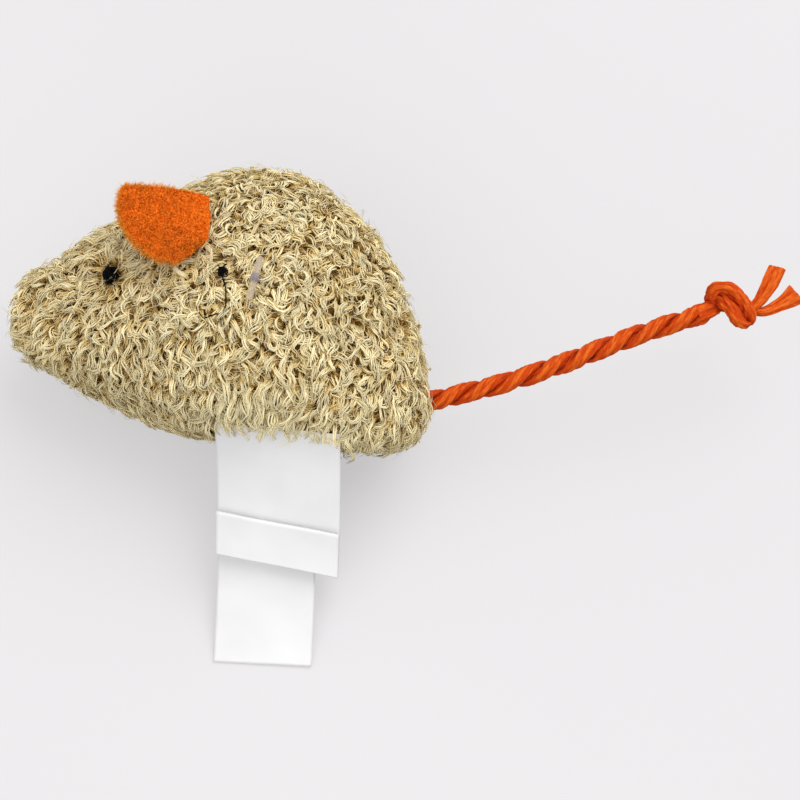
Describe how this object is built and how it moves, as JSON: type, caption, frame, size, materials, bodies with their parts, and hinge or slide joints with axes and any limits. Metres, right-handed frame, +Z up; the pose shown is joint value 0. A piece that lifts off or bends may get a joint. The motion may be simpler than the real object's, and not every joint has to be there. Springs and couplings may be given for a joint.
{
  "type": "plush catnip mouse",
  "caption": "Stuffed curly-plush mouse toy lying on its flank, with felt ears, thread eyes, folded ribbon labels and a knotted twisted-cord tail, for a cat to bat, chase and carry.",
  "frame": {"origin": "the flat spot of the right flank that rests on the table, at its lowest point", "axes": "+X from nose to rump, +Y to the back of the mouse, +Z up from the table to the left flank"},
  "size_m": [0.1577, 0.1015, 0.0471],
  "materials": {
    "plush": "curly beige pile, matt",
    "stuffing": "white polyester fibre",
    "catnip": null,
    "felt": "orange felt, matt and finely mottled",
    "beige_thread": "sewing thread",
    "black_thread": "embroidery thread",
    "clear_plastic": "clear, slightly milky",
    "satin": "white satin ribbon, blank",
    "paper_cord": "twisted orange paper, softly shiny on its ridges"
  },
  "bodies": {
    "mouse_body": {"left_side_panel": "plush", "right_side_panel": "plush", "belly_panel": "plush", "back_seam_thread": "beige_thread", "rump_seam_thread": "beige_thread", "left_belly_seam_thread": "beige_thread", "right_belly_seam_thread": "beige_thread", "head_stuffing": "stuffing", "middle_stuffing": "stuffing", "rump_stuffing": "stuffing", "catnip_fill": "catnip", "left_ear_stitch": "beige_thread", "right_ear_stitch": "beige_thread", "left_eye": "black_thread", "right_eye": "black_thread", "eye_thread": "black_thread", "thread_tie_off": "black_thread", "loose_thread_end": "black_thread", "tail_root": "paper_cord"},
    "left_ear": {"left_ear": "felt"},
    "right_ear": {"right_ear": "felt"},
    "tag_fastener": {"tag_fastener": "clear_plastic"},
    "care_label": {"care_label": "satin"},
    "front_label": {"front_label": "satin"},
    "tail_base": {"tail_base": "paper_cord"},
    "tail": {"tail_rope": "paper_cord", "tail_knot": "paper_cord", "tail_ply_end_upper": "paper_cord", "tail_ply_end_lower": "paper_cord"}
  },
  "joints": [
    {"name": "left_ear_flap", "type": "hinge", "parent": "mouse_body", "child": "left_ear", "pos_m": [-0.01791, 0.01141, 0.04235], "axis": [0, 0.9911, -0.1329], "range_deg": [-8, 80], "stiffness_Nm_per_rad": 0.0003},
    {"name": "right_ear_flap", "type": "hinge", "parent": "mouse_body", "child": "right_ear", "pos_m": [-0.01791, 0.0219, 0.00701], "axis": [0, -0.8073, -0.5902], "range_deg": [-2, 80], "stiffness_Nm_per_rad": 0.0003},
    {"name": "tail_swing", "type": "hinge", "parent": "mouse_body", "child": "tail_base", "pos_m": [0.03434, -0.00433, 0.01962], "axis": [0, -0.2079, 0.9781], "range_deg": [-45, 45], "stiffness_Nm_per_rad": 0.04},
    {"name": "tail_lift", "type": "hinge", "parent": "tail_base", "child": "tail", "pos_m": [0.04358, 0.00023, 0.02059], "axis": [0.4654, -0.8657, -0.184], "range_deg": [-35, 35], "stiffness_Nm_per_rad": 0.04},
    {"name": "label_flip", "type": "hinge", "parent": "mouse_body", "child": "care_label", "pos_m": [0.00512, -0.02147, 0.02713], "axis": [-0.9924, -0.1227, 0], "range_deg": [0, 75]},
    {"name": "front_label_lift", "type": "hinge", "parent": "care_label", "child": "front_label", "pos_m": [0.00512, -0.02147, 0.02713], "axis": [-0.9924, -0.1227, 0], "range_deg": [0, 60]},
    {"name": "tag_bar_swivel", "type": "hinge", "parent": "mouse_body", "child": "tag_fastener", "pos_m": [-0.00508, 0.00324, 0.04355], "axis": [-0.0671, -0.0802, 0.9945], "range_deg": [-60, 60]}
  ]
}
